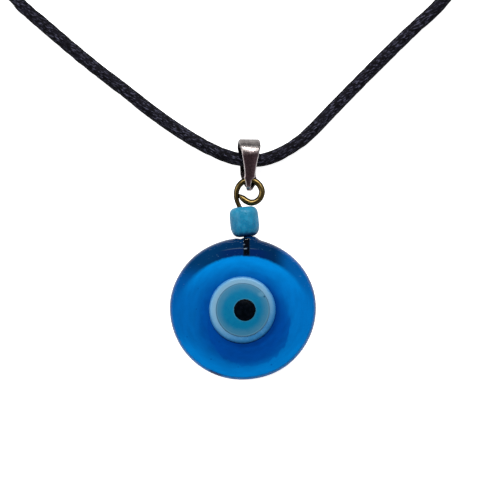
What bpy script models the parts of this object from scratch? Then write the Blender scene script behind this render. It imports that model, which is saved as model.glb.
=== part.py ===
"""An evil eye pendant necklace, laid flat on its back: a round glass disc with a raised eye, hung by a wire
loop through a glass bead and a folded bail on a waxed cord. The origin is the centre of the disc's flat back,
+Y points towards the bail and +Z out of the eye. Sizes and places are in millimetres unless a name says
otherwise; MM turns them into metres where an object is made."""

import math

import bmesh
import bpy
from mathutils import Matrix, Vector

MM = 0.001

# Glass disc
DISC_RADIUS = 11.05
DISC_REACH_DOWN = 10.8
DISC_REACH_UP = 10.6
DISC_MIDDLE_HEIGHT = 5.0
DISC_FACE_RADIUS = 10.2
DISC_FACE_DROP = 0.8
FIT_GAP = 0.06

# Eye, from the outside in
WHITE_RADIUS = 5.04
IRIS_RADIUS = 4.13
PUPIL_RADIUS = 1.63
WHITE_CENTRE = (-0.03, -0.29)
IRIS_CENTRE = (0.12, -0.26)
PUPIL_CENTRE = (0.29, -0.17)
WHITE_FLOOR = 3.5
IRIS_FLOOR = 4.55
PUPIL_FLOOR = 5.15
WHITE_TOP = 5.32
IRIS_TOP = 5.72
PUPIL_TOP = 5.95

# Hanging wire and bead
WIRE_RADIUS = 0.42
WIRE_HEIGHT = 2.35
WIRE_BORE_RADIUS = 0.5
WIRE_BORE_END = 7.5
WIRE_ROUTE = (
    (0.55, 7.8), (0.55, 9.3), (0.52, 10.85), (0.05, 12.97), (-0.42, 15.1), (-0.86, 16.15),
    (-1.0, 17.0), (-0.92, 17.85), (-0.55, 18.6), (0.12, 19.15), (0.99, 19.36), (1.88, 19.15),
    (2.58, 18.5), (2.9, 17.6), (2.65, 16.7), (2.0, 16.08), (1.2, 15.9), (0.5, 16.15), (-0.02, 16.5),
)
BEAD_RADIUS = 2.18
BEAD_LENGTH = 4.2
BEAD_CENTRE = (0.25, 13.07)
BEAD_TILT = math.radians(6)
BEAD_HOLE_RADIUS = 0.62

# Bail: a folded strip that closes round the cord at its top and round the wire loop at its foot
BAIL_CENTRE = (0.92, 23.25)
BAIL_TOP_RADIUS = 2.3
BAIL_FOOT_Y = 19.0
BAIL_FOOT_RADIUS = 1.25
BAIL_THICKNESS = 0.5
BAIL_YAW = math.radians(6.5)
BAIL_FRONT_WIDTHS = (
    (18.0, 0.8), (19.35, 0.95), (19.75, 1.62), (20.3, 1.58), (21.6, 1.92), (23.6, 2.75), (24.3, 3.15),
)
BAIL_BACK_WIDTHS = (
    (18.0, 0.8), (18.5, 1.45), (19.1, 2.1), (19.9, 2.4), (21.6, 2.35), (23.6, 2.75), (24.3, 3.15),
)

# Cord
CORD_DIAMETER = 2.0
CORD_RADIUS = CORD_DIAMETER / 2
COIL_CENTRE = (-27.0, 62.0)
COIL_TURN_RADII = (12.0, 10.0)
COIL_LAYERS = (1.4, 3.4)
CORD_STEP = 2.2 * CORD_DIAMETER
CORD_ROUTE = (
    (-39.0, 62.0, 1.4), (-38.7, 57.0, 1.2), (-37.3, 51.2, 1.05), (-34.1, 46.5, 1.0), (-30.0, 42.8, 1.0),
    (-24.6, 38.2, 1.0), (-21.6, 35.8, 1.0), (-17.8, 32.9, 1.0), (-14.0, 29.9, 1.0), (-9.9, 27.0, 1.15),
    (-6.3, 24.8, 1.5), (-2.7, 23.1, 1.95), (0.8, 22.3, 2.1), (4.3, 22.8, 1.95), (7.9, 24.7, 1.45),
    (10.5, 26.9, 1.15), (13.3, 29.8, 1.0), (17.2, 33.8, 1.0), (21.5, 38.1, 1.0), (25.8, 42.3, 1.0),
    (30.2, 46.5, 1.0), (34.2, 52.6, 1.0), (35.1, 60.4, 1.0), (32.1, 67.4, 1.0), (26.4, 72.2, 1.1),
    (19.2, 74.0, 1.4), (14.2, 74.0, 1.5), (10.8, 74.0, 1.5),
)
TAIL_ROUTE = ((-19.4, 74.0, 1.85), (-17.2, 74.0, 1.56), (-15.5, 74.0, 1.5), (-12.3, 74.0, 1.5))

# Clasp line, along X beyond the coil
LINE_Y = 74.0
LINE_HEIGHT = 1.5
CRIMP_RADIUS = 1.5
CRIMP_BORE_RADIUS = 1.12
CRIMP_LENGTH = 5.0
CRIMP_BORE_DEPTH = 3.5
CRIMP_A_MOUTH = -15.5
CRIMP_B_MOUTH = 14.0
EYE_HOLE_RADIUS = 0.9
EYE_RADIUS = 1.4
EYE_THICKNESS = 0.7
RING_RADIUS = 2.15
RING_WIRE_RADIUS = 0.35
RING_HEIGHT = RING_RADIUS + RING_WIRE_RADIUS
RING_A_X = -7.2
RING_B_X = 5.8
EYE_OFFSET = 1.8
CLASP_THICKNESS = 2.0
HOOK_THICKNESS = 0.8
RIVET_AT = (-2.2, LINE_Y + 0.75)
RIVET_RADIUS = 0.4
LEVER_THICKNESS = 0.8
LEVER_TIP = (2.3, LINE_Y + 2.0)
THUMB_TIP = (-3.0, LINE_Y + 3.3)
TIE_THICKNESS = 0.3
TIE_WIDTH = 2.0

# Joints
BAIL_PIVOT = (0.8, 22.3, 2.1)
PENDANT_PIVOT = (0.95, 17.7, WIRE_HEIGHT)

# Colour as linear RGB, roughness, metallic
FINISHES = {
    "disc_glass": ((0.003, 0.13, 0.47), 0.08, 0.0),
    "eye_white_glass": ((0.32, 0.53, 0.69), 0.25, 0.0),
    "iris_glass": ((0.012, 0.18, 0.36), 0.2, 0.0),
    "pupil_glass": ((0.002, 0.003, 0.005), 0.15, 0.0),
    "bead_glass": ((0.02, 0.22, 0.37), 0.3, 0.0),
    "antique_brass": ((0.3, 0.22, 0.09), 0.35, 1.0),
    "bail_nickel": ((0.5, 0.46, 0.44), 0.22, 1.0),
    "cord_wax": ((0.006, 0.006, 0.01), 0.55, 0.0),
    "clasp_nickel": ((0.62, 0.62, 0.6), 0.25, 1.0),
    "tie_paper": ((0.02, 0.02, 0.022), 0.6, 0.0),
}


def clear_scene():
    for obj in list(bpy.data.objects):
        bpy.data.objects.remove(obj, do_unlink=True)


def material(finish):
    found = bpy.data.materials.get(finish)
    if found:
        return found
    colour, roughness, metallic = FINISHES[finish]
    made = bpy.data.materials.new(finish)
    made.use_nodes = True
    shader = made.node_tree.nodes["Principled BSDF"]
    shader.inputs["Base Color"].default_value = (*colour, 1.0)
    shader.inputs["Roughness"].default_value = roughness
    shader.inputs["Metallic"].default_value = metallic
    made.diffuse_color = (*colour, 1.0)
    return made


def add_object(name, data, finish):
    obj = bpy.data.objects.new(name, data)
    bpy.context.scene.collection.objects.link(obj)
    if finish:
        data.materials.append(material(finish))
    return obj


def from_bmesh(name, shape, finish, smooth=True):
    """An object from a bmesh drawn in millimetres."""
    bmesh.ops.scale(shape, vec=(MM, MM, MM), verts=shape.verts)
    bmesh.ops.recalc_face_normals(shape, faces=shape.faces)
    for face in shape.faces:
        face.smooth = smooth
    mesh = bpy.data.meshes.new(name)
    shape.to_mesh(mesh)
    shape.free()
    return add_object(name, mesh, finish)


def empty_at(name, place, parent=None):
    pivot = add_object(name, None, None)
    pivot.location = Vector(place) * MM
    if parent:
        hang(pivot, parent)
    return pivot


def hang(obj, pivot):
    """Parents an object to a pivot and leaves it where it is."""
    bpy.context.view_layer.update()
    obj.parent = pivot
    obj.matrix_parent_inverse = pivot.matrix_world.inverted()


def turned(name, outline, steps, finish, closed=False):
    """A solid of revolution about its own Z axis. The outline runs from the top down the outer side."""
    points = [(radius * MM, 0.0, height * MM) for radius, height in outline]
    edges = [(i, i + 1) for i in range(len(points) - 1)]
    if closed:
        edges.append((len(points) - 1, 0))
    mesh = bpy.data.meshes.new(name)
    mesh.from_pydata(points, edges, [])
    obj = add_object(name, mesh, finish)
    screw = obj.modifiers.new("Turn", "SCREW")
    screw.axis = "Z"
    screw.steps = steps
    screw.render_steps = steps
    screw.use_merge_vertices = True
    screw.merge_threshold = 0.00001
    screw.use_smooth_shade = True
    return obj


def settled(obj):
    """Applies the object's modifiers."""
    graph = bpy.context.evaluated_depsgraph_get()
    mesh = bpy.data.meshes.new_from_object(obj.evaluated_get(graph))
    obj.modifiers.clear()
    obj.data = mesh
    return obj


def cut(obj, cutter, operation="DIFFERENCE"):
    """Cuts a shape out of an object, or joins it on, and keeps the tool hidden."""
    cutter.hide_render = True
    cutter.display_type = "WIRE"
    boolean = obj.modifiers.new(cutter.name, "BOOLEAN")
    boolean.object = cutter
    boolean.operation = operation
    boolean.solver = "EXACT"


def box(name, low, high):
    shape = bmesh.new()
    middle = [(a + b) / 2 for a, b in zip(low, high)]
    sides = [b - a for a, b in zip(low, high)]
    size = Matrix.Diagonal((*sides, 1.0))
    bmesh.ops.create_cube(shape, size=1.0, matrix=Matrix.Translation(middle) @ size)
    return from_bmesh(name, shape, None, smooth=False)


def rod(name, start, end, radius, finish=None, sides=24):
    """A round bar from one point to another."""
    run = Vector(end) - Vector(start)
    shape = bmesh.new()
    turn = run.to_track_quat("Z", "Y").to_matrix().to_4x4()
    place = Matrix.Translation((Vector(start) + Vector(end)) / 2) @ turn
    bmesh.ops.create_cone(
        shape, cap_ends=True, segments=sides, radius1=radius, radius2=radius, depth=run.length, matrix=place
    )
    return from_bmesh(name, shape, finish, smooth=False)


def arc(centre, radius, start, end, steps):
    """Points on an arc, by angle in radians, ends included."""
    angles = [start + (end - start) * i / steps for i in range(steps + 1)]
    return [(centre[0] + radius * math.cos(a), centre[1] + radius * math.sin(a)) for a in angles]


def hull(first, first_radius, second, second_radius, steps):
    """The outline of two circles and the lines that touch both, counter-clockwise."""
    run = Vector(second) - Vector(first)
    heading = math.atan2(run.y, run.x)
    spread = math.acos((first_radius - second_radius) / run.length)
    far = arc(second, second_radius, heading - spread, heading + spread, steps)
    near = arc(first, first_radius, heading + spread, heading - spread + 2 * math.pi, steps)
    return far + near


def plate(name, outline, thickness, height, finish=None, bevel=0.0):
    """A flat plate of a closed outline, centred on a height."""
    shape = bmesh.new()
    corners = [shape.verts.new((x, y, height - thickness / 2)) for x, y in outline]
    face = shape.faces.new(corners)
    grown = bmesh.ops.extrude_face_region(shape, geom=[face])
    raised = [item for item in grown["geom"] if isinstance(item, bmesh.types.BMVert)]
    bmesh.ops.translate(shape, vec=(0, 0, thickness), verts=raised)
    obj = from_bmesh(name, shape, finish, smooth=False)
    if bevel:
        rounding = obj.modifiers.new("Rounding", "BEVEL")
        rounding.width = bevel * MM
        rounding.segments = 2
        rounding.limit_method = "ANGLE"
        rounding.angle_limit = math.radians(50)
    return obj


def smooth_path(points, step):
    """Points about a step apart on a smooth curve through the given ones."""
    points = [Vector(point) for point in points]
    padded = [2 * points[0] - points[1], *points, 2 * points[-1] - points[-2]]
    fine = [points[0]]
    for before, start, end, after in zip(padded, padded[1:], padded[2:], padded[3:]):
        for i in range(1, 17):
            t = i / 16
            fine.append(
                0.5
                * (
                    2 * start
                    + (end - before) * t
                    + (2 * before - 5 * start + 4 * end - after) * t**2
                    + (3 * start - before - 3 * end + after) * t**3
                )
            )
    along = [0.0]
    for a, b in zip(fine, fine[1:]):
        along.append(along[-1] + (b - a).length)
    count = max(2, round(along[-1] / step))
    path = []
    at = 0
    for i in range(count + 1):
        wanted = along[-1] * i / count
        while at < len(fine) - 2 and along[at + 1] < wanted:
            at += 1
        share = (wanted - along[at]) / (along[at + 1] - along[at])
        path.append(fine[at].lerp(fine[at + 1], min(share, 1.0)))
    return path


def laid(path):
    """Lifts a cord's path wherever the smooth curve would dip its underside below the surface."""
    for place in path:
        place.z = max(place.z, CORD_RADIUS)
    return path


def tube(name, path, radius, resolution, finish):
    """A round bar bent along a path, closed at both ends."""
    curve = bpy.data.curves.new(name, "CURVE")
    curve.dimensions = "3D"
    curve.bevel_depth = radius * MM
    curve.bevel_resolution = resolution
    curve.use_fill_caps = True
    spline = curve.splines.new("POLY")
    spline.points.add(len(path) - 1)
    for knot, place in zip(spline.points, path):
        knot.co = (*(place * MM), 1.0)
    spline.use_smooth = True
    return add_object(name, curve, finish)


def shift_middle(obj, inner, outer, shift):
    """Slides the middle of a settled disc sideways, fading out from an inner to an outer radius."""
    for vertex in obj.data.vertices:
        reach = math.hypot(vertex.co.x, vertex.co.y) / MM
        share = min(max((outer - reach) / (outer - inner), 0.0), 1.0)
        vertex.co.x += shift[0] * share * MM
        vertex.co.y += shift[1] * share * MM


def make_disc():
    """The glass disc: flat back, rounded rim, slightly domed front with a round seat for the eye."""
    seat = WHITE_RADIUS + FIT_GAP
    front = []
    for i in range(7):
        radius = seat + (DISC_FACE_RADIUS - seat) * i / 6
        height = DISC_MIDDLE_HEIGHT - DISC_FACE_DROP * (radius / DISC_FACE_RADIUS) ** 2
        front.append((radius, height))
    half = (DISC_MIDDLE_HEIGHT - DISC_FACE_DROP) / 2
    rim = []
    for i in range(1, 13):
        angle = math.pi / 2 - math.pi * i / 12
        rim.append((
            DISC_FACE_RADIUS + (DISC_RADIUS - DISC_FACE_RADIUS) * math.cos(angle),
            half + half * math.sin(angle),
        ))
    outline = [(0, WHITE_FLOOR), (seat, WHITE_FLOOR), *front, *rim, (0, 0)]
    disc = settled(turned("glass_disc", outline, 64, "disc_glass"))
    shift_middle(disc, seat + 0.1, DISC_FACE_RADIUS, WHITE_CENTRE)
    for vertex in disc.data.vertices:
        reach = math.hypot(vertex.co.x, vertex.co.y) / MM
        share = min(max((reach - seat) / (DISC_FACE_RADIUS - seat), 0.0), 1.0)
        edge = DISC_REACH_UP if vertex.co.y > 0 else DISC_REACH_DOWN
        vertex.co.y *= 1 + (edge / DISC_RADIUS - 1) * share
    bore = rod(
        "wire_bore",
        (WIRE_ROUTE[0][0], WIRE_BORE_END, WIRE_HEIGHT),
        (WIRE_ROUTE[0][0], DISC_RADIUS + 2, WIRE_HEIGHT),
        WIRE_BORE_RADIUS,
        sides=16,
    )
    cut(disc, bore)
    return disc


def make_eye_layer(name, finish, radius, centre, floor, top, crown, seat_radius, seat_floor, steps):
    """One layer of the eye: a low button with a rounded shoulder and a seat for the next layer."""
    shoulder = min(0.45, radius / 4)
    shoulder_z = top - crown - shoulder * 0.55
    outline = [(0, seat_floor), (seat_radius, seat_floor)] if seat_radius else []
    for i in range(4):
        reach = seat_radius + (radius - shoulder - seat_radius) * i / 3
        outline.append((reach, top - crown * (reach / (radius - shoulder)) ** 2))
    for i in range(1, 5):
        angle = math.pi / 2 * (1 - i / 4)
        outline.append((
            radius - shoulder + shoulder * math.cos(angle),
            shoulder_z + (top - crown - shoulder_z) * math.sin(angle),
        ))
    outline += [(radius, floor), (0, floor)]
    layer = settled(turned(name, outline, steps, finish))
    layer.location = (centre[0] * MM, centre[1] * MM, 0.0)
    return layer


def make_eye():
    """White ring, iris and pupil, each sunk a little into the layer under it."""
    white = make_eye_layer(
        "eye_white", "eye_white_glass", WHITE_RADIUS, WHITE_CENTRE, WHITE_FLOOR + FIT_GAP, WHITE_TOP, 0.05,
        IRIS_RADIUS + FIT_GAP, IRIS_FLOOR, 56,
    )
    offset = (IRIS_CENTRE[0] - WHITE_CENTRE[0], IRIS_CENTRE[1] - WHITE_CENTRE[1])
    shift_middle(white, IRIS_RADIUS + 2 * FIT_GAP, WHITE_RADIUS, offset)
    iris = make_eye_layer(
        "eye_iris", "iris_glass", IRIS_RADIUS, IRIS_CENTRE, IRIS_FLOOR + FIT_GAP, IRIS_TOP, 0.25,
        PUPIL_RADIUS + FIT_GAP, PUPIL_FLOOR, 48,
    )
    offset = (PUPIL_CENTRE[0] - IRIS_CENTRE[0], PUPIL_CENTRE[1] - IRIS_CENTRE[1])
    shift_middle(iris, PUPIL_RADIUS + 2 * FIT_GAP, IRIS_RADIUS, offset)
    pupil = make_eye_layer(
        "eye_pupil", "pupil_glass", PUPIL_RADIUS, PUPIL_CENTRE, PUPIL_FLOOR + FIT_GAP, PUPIL_TOP, 0.1,
        0.0, 0.0, 32,
    )
    return [white, iris, pupil]


def make_wire():
    """The hanging wire: a leg set in the glass, a stem through the bead and a loop turned back on itself."""
    route = [(x, y, WIRE_HEIGHT) for x, y in WIRE_ROUTE]
    return tube("hanging_wire", smooth_path(route, WIRE_RADIUS), WIRE_RADIUS, 3, "antique_brass")


def make_bead():
    """The barrel bead, with its hole along the wire's stem."""
    half = BEAD_LENGTH / 2
    flat = 0.52 * BEAD_RADIUS
    corner = BEAD_RADIUS - flat
    outline = [(0, half), (flat * 0.6, half)]
    for i in range(7):
        angle = math.pi / 2 * (1 - i / 6)
        outline.append((flat + corner * 0.94 * math.cos(angle), half - corner + corner * math.sin(angle)))
    outline.append((BEAD_RADIUS, 0))
    outline += [(radius, -height) for radius, height in reversed(outline[:-1])]
    bead = turned("collar_bead", outline, 40, "bead_glass")
    bead.location = (BEAD_CENTRE[0] * MM, BEAD_CENTRE[1] * MM, WIRE_HEIGHT * MM)
    bead.rotation_euler = (-math.pi / 2, 0.0, BEAD_TILT)
    stem_low = Vector((*WIRE_ROUTE[2], WIRE_HEIGHT))
    stem_high = Vector((*WIRE_ROUTE[4], WIRE_HEIGHT))
    reach = (stem_high - stem_low) * 0.3
    cut(bead, rod("bead_hole", stem_low - reach, stem_high + reach, BEAD_HOLE_RADIUS, sides=16))
    return bead


def width_at(widths, y):
    """The width read off a list of heights and widths."""
    if y <= widths[0][0]:
        return widths[0][1]
    for (low, narrow), (high, wide) in zip(widths, widths[1:]):
        if y <= high:
            return narrow + (wide - narrow) * (y - low) / (high - low)
    return widths[-1][1]


def bail_width(y, height):
    """How wide the strip is: its back widens sooner above the foot than its front."""
    front = min(max(0.5 + height, 0.0), 1.0)
    return front * width_at(BAIL_FRONT_WIDTHS, y) + (1 - front) * width_at(BAIL_BACK_WIDTHS, y)


def make_bail():
    """The bail: a tapering strip bent into a closed loop round the cord and the wire."""
    top = (BAIL_CENTRE[1], 0.0)
    foot = (BAIL_FOOT_Y, 0.0)
    half = BAIL_THICKNESS / 2
    rounded = hull(top, BAIL_TOP_RADIUS - half, foot, BAIL_FOOT_RADIUS - half, 14)
    path = [Vector(point) for point in rounded]
    stations = []
    for here, after in zip(path, path[1:] + path[:1]):
        pieces = max(1, round((after - here).length / 0.45))
        stations += [here.lerp(after, i / pieces) for i in range(pieces)]
    shape = bmesh.new()
    turn = Matrix.Rotation(BAIL_YAW, 4, "Y")
    rings = []
    for i, here in enumerate(stations):
        run = stations[(i + 1) % len(stations)] - stations[i - 1]
        outward = Vector((run.y, -run.x)).normalized()
        side = bail_width(here.x, here.y) / 2
        chamfer = 0.14
        section = (
            (side - chamfer, half), (side, half - chamfer), (side, chamfer - half), (side - chamfer, -half),
            (chamfer - side, -half), (-side, chamfer - half), (-side, half - chamfer), (chamfer - side, half),
        )
        ring = []
        for across, out in section:
            place = here + outward * out
            spot = turn @ Vector((across, place.x, place.y))
            ring.append(shape.verts.new((spot.x + BAIL_CENTRE[0], spot.y, spot.z + WIRE_HEIGHT)))
        rings.append(ring)
    for ring, after in zip(rings, rings[1:] + rings[:1]):
        for j in range(8):
            k = (j + 1) % 8
            shape.faces.new((ring[j], ring[k], after[k], after[j]))
    return from_bmesh("bail", shape, "bail_nickel", smooth=False)


def make_coil():
    """The outer shape of the put-away turns: a ring with rounded edges."""
    inner = min(COIL_TURN_RADII) - CORD_RADIUS
    outer = max(COIL_TURN_RADII) + CORD_RADIUS
    low = min(COIL_LAYERS) - CORD_RADIUS
    high = max(COIL_LAYERS) + CORD_RADIUS
    outline = []
    corners = ((outer, high, 90), (outer, low, 0), (inner, low, -90), (inner, high, -180))
    for reach, height, start in corners:
        toward_x = -CORD_RADIUS if reach == outer else CORD_RADIUS
        toward_z = -CORD_RADIUS if height == high else CORD_RADIUS
        begin = math.radians(start)
        outline += arc((reach + toward_x, height + toward_z), CORD_RADIUS, begin, begin - math.pi / 2, 3)
    coil = turned("cord_coil", outline, 48, "cord_wax", closed=True)
    coil.location = (COIL_CENTRE[0] * MM, COIL_CENTRE[1] * MM, 0.0)
    return coil


def make_tie():
    """The band that holds the coil's turns together, on the side nearest the clasp."""
    gap = 0.05
    inner = min(COIL_TURN_RADII) - CORD_RADIUS - gap
    outer = max(COIL_TURN_RADII) + CORD_RADIUS + gap
    low = min(COIL_LAYERS) - CORD_RADIUS - gap
    high = max(COIL_LAYERS) + CORD_RADIUS + gap
    spin = Matrix.Rotation(math.radians(-20), 4, "Z")
    rings = []
    shape = bmesh.new()
    for across in (-TIE_WIDTH / 2, TIE_WIDTH / 2):
        for grow in (0.0, TIE_THICKNESS):
            corner = 0.6 + grow
            outline = []
            for reach, height, start in (
                (outer + grow - corner, high + grow - corner, 0),
                (inner - grow + corner, high + grow - corner, 90),
                (inner - grow + corner, low - grow + corner, 180),
                (outer + grow - corner, low - grow + corner, 270),
            ):
                begin = math.radians(start)
                outline += arc((reach, height), corner, begin, begin + math.pi / 2, 4)
            rings.append([shape.verts.new(spin @ Vector((r, across, z))) for r, z in outline])
    count = len(rings[0])
    for first, second in ((0, 1), (1, 3), (3, 2), (2, 0)):
        for i in range(count):
            j = (i + 1) % count
            shape.faces.new((rings[first][i], rings[first][j], rings[second][j], rings[second][i]))
    bmesh.ops.translate(shape, vec=(*COIL_CENTRE, 0.0), verts=shape.verts)
    return from_bmesh("coil_tie", shape, "tie_paper", smooth=False)


def make_crimp(name, mouth, heading):
    """A crimped cord end: a cup that the cord sits in, with a flat eye, its mouth facing away from its heading."""
    chamfer = 0.25
    outline = (
        (0, CRIMP_LENGTH), (CRIMP_RADIUS - chamfer, CRIMP_LENGTH), (CRIMP_RADIUS, CRIMP_LENGTH - chamfer),
        (CRIMP_RADIUS, chamfer / 2), (CRIMP_RADIUS - chamfer / 2, 0), (CRIMP_BORE_RADIUS, 0),
        (CRIMP_BORE_RADIUS, CRIMP_BORE_DEPTH), (0, CRIMP_BORE_DEPTH),
    )
    cup = turned(name, outline, 28, "clasp_nickel")
    cup.location = (mouth * MM, LINE_Y * MM, LINE_HEIGHT * MM)
    cup.rotation_euler = (0.0, heading * math.pi / 2, 0.0)
    ring_x = RING_A_X if heading > 0 else RING_B_X
    eye = (ring_x - heading * EYE_OFFSET, LINE_Y)
    root = (mouth + heading * (CRIMP_LENGTH - 0.6), LINE_Y)
    outline = hull(root, EYE_RADIUS - 0.3, eye, EYE_RADIUS, 10)
    lug = plate(name + "_lug", outline, EYE_THICKNESS, LINE_HEIGHT)
    tall = EYE_THICKNESS
    hole = rod(name + "_hole", (*eye, LINE_HEIGHT - tall), (*eye, LINE_HEIGHT + tall), EYE_HOLE_RADIUS)
    cut(cup, lug, "UNION")
    cut(cup, hole)
    return cup


def make_ring(name, x):
    """A jump ring that stands on edge, through the eyes on either side of it."""
    segments = 36
    sides = 10
    shape = bmesh.new()
    rings = []
    for i in range(segments):
        angle = 2 * math.pi * i / segments
        spoke = Vector((math.cos(angle), 0.0, math.sin(angle)))
        centre = Vector((x, LINE_Y, RING_HEIGHT)) + spoke * RING_RADIUS
        section = []
        for j in range(sides):
            around = 2 * math.pi * j / sides
            lift = spoke * math.cos(around) + Vector((0, 1, 0)) * math.sin(around)
            section.append(shape.verts.new(centre + lift * RING_WIRE_RADIUS))
        rings.append(section)
    for ring, after in zip(rings, rings[1:] + rings[:1]):
        for j in range(sides):
            k = (j + 1) % sides
            shape.faces.new((ring[j], ring[k], after[k], after[j]))
    return from_bmesh(name, shape, "clasp_nickel")


def make_clasp_body():
    """The lobster clasp's body: an eye, a thick middle with a slot for the lever, and a hook."""
    eye = (RING_A_X + EYE_OFFSET, LINE_Y)
    hook = (2.9, LINE_Y)
    middle = (-2.2, LINE_Y)
    body = plate(
        "clasp_body",
        hull(middle, 1.9, (-0.9, LINE_Y), 2.1, 14),
        CLASP_THICKNESS,
        LINE_HEIGHT,
        "clasp_nickel",
        0.25,
    )
    cut(body, plate("hook_blank", hull(middle, 1.7, hook, 2.75, 16), HOOK_THICKNESS, LINE_HEIGHT), "UNION")
    cut(body, plate("clasp_lug", hull(middle, 1.3, eye, EYE_RADIUS, 12), EYE_THICKNESS, LINE_HEIGHT), "UNION")
    low = LINE_HEIGHT - CLASP_THICKNESS
    high = LINE_HEIGHT + CLASP_THICKNESS
    cut(body, rod("clasp_eye_hole", (*eye, low), (*eye, high), EYE_HOLE_RADIUS))
    hook_outline = hull((1.6, LINE_Y), 1.35, (3.2, LINE_Y), 1.6, 12)
    cut(body, plate("hook_space", hook_outline, 2 * CLASP_THICKNESS, LINE_HEIGHT))
    slot = LEVER_THICKNESS / 2 + 0.12
    cut(body, box("hook_mouth", (0.2, LINE_Y + 0.6, low), (3.05, LINE_Y + 4, high)))
    cut(
        body,
        box("lever_slot", (-3.9, LINE_Y - 0.45, LINE_HEIGHT - slot), (2.0, LINE_Y + 4, LINE_HEIGHT + slot)),
    )
    cut(body, rod("rivet_hole", (*RIVET_AT, low), (*RIVET_AT, high), RIVET_RADIUS + 0.06, sides=20))
    return body


def make_lever():
    """The clasp's lever: an arm that closes the hook's mouth, and a thumb piece on the same plate."""
    outline = hull(RIVET_AT, 0.85, LEVER_TIP, 0.5, 10)
    lever = plate("clasp_lever", outline, LEVER_THICKNESS, LINE_HEIGHT, "clasp_nickel")
    thumb = plate("thumb_blank", hull(RIVET_AT, 0.75, THUMB_TIP, 0.55, 10), LEVER_THICKNESS, LINE_HEIGHT)
    cut(lever, thumb, "UNION")
    low = LINE_HEIGHT - CLASP_THICKNESS
    high = LINE_HEIGHT + CLASP_THICKNESS
    cut(lever, rod("lever_hole", (*RIVET_AT, low), (*RIVET_AT, high), RIVET_RADIUS + 0.06, sides=20))
    return lever


def make_rivet():
    reach = CLASP_THICKNESS / 2 + 0.05
    return rod(
        "clasp_rivet", (*RIVET_AT, LINE_HEIGHT - reach), (*RIVET_AT, LINE_HEIGHT + reach), RIVET_RADIUS,
        "clasp_nickel", sides=20,
    )


def run_start():
    """The cord's run, from where it clears the coil's outer shape."""
    path = smooth_path(CORD_ROUTE, 0.25 * CORD_DIAMETER)
    clear = max(COIL_TURN_RADII) + 2 * CORD_RADIUS + 0.25
    centre = Vector(COIL_CENTRE)
    first = next(i for i, place in enumerate(path) if (place.to_2d() - centre).length > clear)
    return smooth_path(path[first::4] + path[-1:], CORD_STEP)


def main():
    clear_scene()
    tube("cord_run", laid(run_start()), CORD_RADIUS, 2, "cord_wax")
    tube("cord_tail", laid(smooth_path(TAIL_ROUTE, 0.8 * CORD_DIAMETER)), CORD_RADIUS, 2, "cord_wax")
    make_coil()
    make_tie()
    make_crimp("crimp_a", CRIMP_A_MOUTH, 1)
    make_crimp("crimp_b", CRIMP_B_MOUTH, -1)

    bail_pivot = empty_at("bail_pivot", BAIL_PIVOT)
    pendant_pivot = empty_at("pendant_pivot", PENDANT_PIVOT, bail_pivot)
    stem_pivot = empty_at("stem_pivot", (*WIRE_ROUTE[3], WIRE_HEIGHT), pendant_pivot)
    hang(make_bail(), bail_pivot)
    for piece in (make_disc(), *make_eye(), make_wire()):
        hang(piece, pendant_pivot)
    hang(make_bead(), stem_pivot)

    ring_a_pivot = empty_at("ring_a_pivot", (RING_A_X, LINE_Y, LINE_HEIGHT))
    ring_b_pivot = empty_at("ring_b_pivot", (RING_B_X, LINE_Y, LINE_HEIGHT))
    clasp_pivot = empty_at("clasp_pivot", (0.0, LINE_Y, LINE_HEIGHT))
    lever_pivot = empty_at("lever_pivot", (*RIVET_AT, LINE_HEIGHT), clasp_pivot)
    hang(make_ring("jump_ring_a", RING_A_X), ring_a_pivot)
    hang(make_ring("jump_ring_b", RING_B_X), ring_b_pivot)
    hang(make_clasp_body(), clasp_pivot)
    hang(make_rivet(), clasp_pivot)
    hang(make_lever(), lever_pivot)


main()
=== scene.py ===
import math

import bpy
import numpy as np
from mathutils import Matrix, Vector, noise


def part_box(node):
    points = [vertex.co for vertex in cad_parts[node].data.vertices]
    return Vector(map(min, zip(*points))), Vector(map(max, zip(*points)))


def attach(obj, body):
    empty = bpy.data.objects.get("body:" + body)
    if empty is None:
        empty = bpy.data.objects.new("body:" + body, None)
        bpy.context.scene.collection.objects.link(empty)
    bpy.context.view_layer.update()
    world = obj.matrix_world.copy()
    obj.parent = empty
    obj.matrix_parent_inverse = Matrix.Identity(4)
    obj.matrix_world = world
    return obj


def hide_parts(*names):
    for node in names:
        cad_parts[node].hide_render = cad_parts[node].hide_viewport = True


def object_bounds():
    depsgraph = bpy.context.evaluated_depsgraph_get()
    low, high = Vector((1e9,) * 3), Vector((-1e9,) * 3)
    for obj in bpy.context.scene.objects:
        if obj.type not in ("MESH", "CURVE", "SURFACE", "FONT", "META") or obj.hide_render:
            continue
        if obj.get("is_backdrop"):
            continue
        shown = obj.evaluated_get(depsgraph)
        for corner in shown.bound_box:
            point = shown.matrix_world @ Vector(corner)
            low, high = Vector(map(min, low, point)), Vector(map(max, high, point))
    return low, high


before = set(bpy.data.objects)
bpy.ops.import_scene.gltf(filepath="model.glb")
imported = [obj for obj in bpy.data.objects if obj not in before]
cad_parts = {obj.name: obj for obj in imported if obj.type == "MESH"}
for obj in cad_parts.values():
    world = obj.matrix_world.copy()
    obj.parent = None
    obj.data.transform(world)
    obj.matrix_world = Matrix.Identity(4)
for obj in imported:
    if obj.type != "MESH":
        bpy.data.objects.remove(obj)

CAD_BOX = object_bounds()
MM = 0.001

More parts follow.
